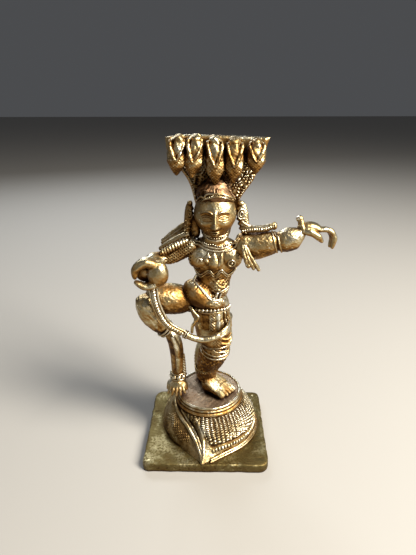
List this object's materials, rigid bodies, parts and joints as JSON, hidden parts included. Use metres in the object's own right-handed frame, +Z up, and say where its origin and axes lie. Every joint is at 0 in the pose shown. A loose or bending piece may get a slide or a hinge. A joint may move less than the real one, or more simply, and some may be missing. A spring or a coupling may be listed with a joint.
{
  "type": "dancing figure statuette",
  "caption": "Small cast brass temple figurine: a dancer on a coiled serpent mound with a fan of serpent heads above, on a rectangular plate.",
  "frame": {"origin": "middle of the plate's underside, on the surface it stands on", "axes": "+Z up, -Y to the front (where the figure faces), +X to the figure's left hand"},
  "size_m": [0.0598, 0.037, 0.1022],
  "materials": {
    "plate_brass": "dull filed brass, bright where the edges are worn",
    "cast_brass": "polished cast brass with dark brown tarnish in the recesses",
    "tarnished_brass": "unpolished cast floor with brown tarnish"
  },
  "bodies": {
    "root": {"base_plate": "plate_brass", "chest_pendants": "cast_brass", "crown": "cast_brass", "crown_band": "cast_brass", "dance_step": "tarnished_brass", "dhoti_fold": "cast_brass", "fold_ridge_inner": "cast_brass", "fold_ridge_outer": "cast_brass", "head": "cast_brass", "hood_fan": "cast_brass", "left_anklet": "cast_brass", "left_armlet": "cast_brass", "left_bangle": "cast_brass", "left_calf": "cast_brass", "left_ear_jewel": "cast_brass", "left_foot": "cast_brass", "left_forearm": "cast_brass", "left_hand": "cast_brass", "left_hem_band": "cast_brass", "left_knee_band": "cast_brass", "left_scarf_cord": "cast_brass", "left_scarf_end": "cast_brass", "left_thigh": "cast_brass", "left_upper_arm": "cast_brass", "mound_border": "cast_brass", "mound_ring": "cast_brass", "neck": "cast_brass", "necklace": "cast_brass", "pelvis": "cast_brass", "right_anklet": "cast_brass", "right_armlet": "cast_brass", "right_ear_jewel": "cast_brass", "right_foot": "cast_brass", "right_forearm": "cast_brass", "right_hand": "cast_brass", "right_hem_band": "cast_brass", "right_knee_wrap": "cast_brass", "right_scarf": "cast_brass", "right_shin": "cast_brass", "right_thigh": "cast_brass", "right_upper_arm": "cast_brass", "serpent_head_1": "cast_brass", "serpent_head_2": "cast_brass", "serpent_head_3": "cast_brass", "serpent_head_4": "cast_brass", "serpent_head_5": "cast_brass", "serpent_mound": "cast_brass", "step_lip": "cast_brass", "tail_band": "cast_brass", "tail_beaded": "cast_brass", "tail_rise": "cast_brass", "torso": "cast_brass", "waist_girdle": "cast_brass"}
  },
  "joints": []
}
